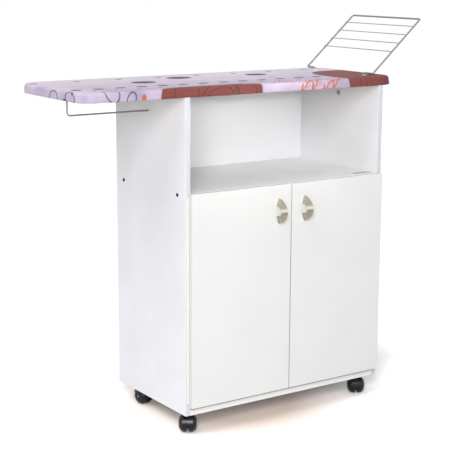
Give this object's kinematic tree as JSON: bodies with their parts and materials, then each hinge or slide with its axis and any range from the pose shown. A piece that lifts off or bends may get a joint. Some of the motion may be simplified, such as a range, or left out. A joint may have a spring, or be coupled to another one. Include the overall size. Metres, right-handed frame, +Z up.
{
  "type": "ironing board cabinet",
  "caption": "White laminate ironing cabinet on casters: a padded board over an open shelf and a cupboard behind two doors, with a lift-out wire iron rack and a hanger bar.",
  "frame": {"origin": "centre of the whole object's footprint box, at floor level", "axes": "+Z up, +Y from the doors to the back, +X to the right along the board, towards the iron rack"},
  "size_m": [1.0798, 0.395, 1.054],
  "materials": {
    "white_laminate": "white melamine laminate, satin",
    "back_board": "thin white-faced hardboard",
    "raw_chipboard": "unfaced chipboard",
    "felt": "needled felt",
    "printed_cotton": "lilac printed cotton",
    "chrome_wire": "polished chrome plating",
    "satin_nickel": "satin nickel plating",
    "white_enamel": "white enamel",
    "bright_steel": "zinc-plated steel",
    "black_screw": "black oxide",
    "beech": "bare beech",
    "black_plastic": "moulded black nylon",
    "white_plastic": "moulded white plastic"
  },
  "bodies": {
    "cabinet": {"left_side_panel": "white_laminate", "right_side_panel": "white_laminate", "base_panel": "white_laminate", "middle_shelf": "white_laminate", "back_panel": "back_board", "back_panel_nails": "bright_steel", "shelf_screws": "black_screw", "board_cam_bolts": "bright_steel", "board_cam_locks": "bright_steel", "board_dowels": "beech", "base_cam_bolts": "bright_steel", "base_cam_locks": "bright_steel", "base_dowels": "beech", "board_core": "raw_chipboard", "board_padding": "felt", "board_cover": "printed_cotton", "rack_sockets": "white_plastic", "hanger_bar": "chrome_wire", "hanger_bar_collars": "white_plastic", "magnet_catch": "white_plastic", "left_hinge_case_leaf": "white_enamel", "left_hinge_case_screws": "white_enamel", "left_hinge_pin": "bright_steel", "right_hinge_case_leaf": "white_enamel", "right_hinge_case_screws": "white_enamel", "right_hinge_pin": "bright_steel", "caster_plates": "bright_steel", "caster_plate_screws": "bright_steel"},
    "left_door": {"left_door": "white_laminate", "left_handle": "satin_nickel", "left_handle_screws": "bright_steel", "left_hinge_door_leaf": "white_enamel", "left_hinge_door_screws": "white_enamel", "left_strike_plate": "bright_steel"},
    "right_door": {"right_door": "white_laminate", "right_handle": "satin_nickel", "right_handle_screws": "bright_steel", "right_hinge_door_leaf": "white_enamel", "right_hinge_door_screws": "white_enamel", "right_strike_plate": "bright_steel"},
    "rack": {"rack_frame": "chrome_wire", "rack_crossbars": "chrome_wire"},
    "front_left_swivel": {"front_left_caster_hood": "black_plastic", "front_left_caster_axle": "bright_steel"},
    "front_left_left_wheel": {"front_left_caster_left_wheel": "black_plastic"},
    "front_left_right_wheel": {"front_left_caster_right_wheel": "black_plastic"},
    "front_right_swivel": {"front_right_caster_hood": "black_plastic", "front_right_caster_axle": "bright_steel"},
    "front_right_left_wheel": {"front_right_caster_left_wheel": "black_plastic"},
    "front_right_right_wheel": {"front_right_caster_right_wheel": "black_plastic"},
    "rear_left_swivel": {"rear_left_caster_hood": "black_plastic", "rear_left_caster_axle": "bright_steel"},
    "rear_left_left_wheel": {"rear_left_caster_left_wheel": "black_plastic"},
    "rear_left_right_wheel": {"rear_left_caster_right_wheel": "black_plastic"},
    "rear_right_swivel": {"rear_right_caster_hood": "black_plastic", "rear_right_caster_axle": "bright_steel"},
    "rear_right_left_wheel": {"rear_right_caster_left_wheel": "black_plastic"},
    "rear_right_right_wheel": {"rear_right_caster_right_wheel": "black_plastic"}
  },
  "joints": [
    {"name": "left_door_hinge", "type": "hinge", "parent": "cabinet", "child": "left_door", "pos_m": [-0.2498, -0.1544, 0.355], "axis": [0, 0, -1], "range_deg": [0, 115]},
    {"name": "right_door_hinge", "type": "hinge", "parent": "cabinet", "child": "right_door", "pos_m": [0.378, -0.1544, 0.355], "axis": [0, 0, 1], "range_deg": [0, 115]},
    {"name": "rack_lift", "type": "slide", "parent": "cabinet", "child": "rack", "axis": [0, 0, 1], "range_m": [0, 0.03]},
    {"name": "front_left_caster_swivel", "type": "hinge", "parent": "cabinet", "child": "front_left_swivel", "pos_m": [-0.2199, -0.1065, 0.045], "axis": [0, 0, 1], "continuous": true},
    {"name": "front_left_left_wheel_spin", "type": "hinge", "parent": "front_left_swivel", "child": "front_left_left_wheel", "pos_m": [-0.23332, -0.1264, 0.0235], "axis": [0.829, -0.5592, 0], "continuous": true},
    {"name": "front_left_right_wheel_spin", "type": "hinge", "parent": "front_left_swivel", "child": "front_left_right_wheel", "pos_m": [-0.23332, -0.1264, 0.0235], "axis": [0.829, -0.5592, 0], "continuous": true},
    {"name": "front_right_caster_swivel", "type": "hinge", "parent": "cabinet", "child": "front_right_swivel", "pos_m": [0.3481, -0.1065, 0.045], "axis": [0, 0, 1], "continuous": true},
    {"name": "front_right_left_wheel_spin", "type": "hinge", "parent": "front_right_swivel", "child": "front_right_left_wheel", "pos_m": [0.33503, -0.12663, 0.0235], "axis": [0.8387, -0.5446, 0], "continuous": true},
    {"name": "front_right_right_wheel_spin", "type": "hinge", "parent": "front_right_swivel", "child": "front_right_right_wheel", "pos_m": [0.33503, -0.12663, 0.0235], "axis": [0.8387, -0.5446, 0], "continuous": true},
    {"name": "rear_left_caster_swivel", "type": "hinge", "parent": "cabinet", "child": "rear_left_swivel", "pos_m": [-0.2199, 0.1515, 0.045], "axis": [0, 0, 1], "continuous": true},
    {"name": "rear_left_left_wheel_spin", "type": "hinge", "parent": "rear_left_swivel", "child": "rear_left_left_wheel", "pos_m": [-0.21614, 0.12779, 0.0235], "axis": [0.9877, 0.1564, 0], "continuous": true},
    {"name": "rear_left_right_wheel_spin", "type": "hinge", "parent": "rear_left_swivel", "child": "rear_left_right_wheel", "pos_m": [-0.21614, 0.12779, 0.0235], "axis": [0.9877, 0.1564, 0], "continuous": true},
    {"name": "rear_right_caster_swivel", "type": "hinge", "parent": "cabinet", "child": "rear_right_swivel", "pos_m": [0.3481, 0.1515, 0.045], "axis": [0, 0, 1], "continuous": true},
    {"name": "rear_right_left_wheel_spin", "type": "hinge", "parent": "rear_right_swivel", "child": "rear_right_left_wheel", "pos_m": [0.33989, 0.12895, 0.0235], "axis": [0.9397, -0.342, 0], "continuous": true},
    {"name": "rear_right_right_wheel_spin", "type": "hinge", "parent": "rear_right_swivel", "child": "rear_right_right_wheel", "pos_m": [0.33989, 0.12895, 0.0235], "axis": [0.9397, -0.342, 0], "continuous": true}
  ]
}
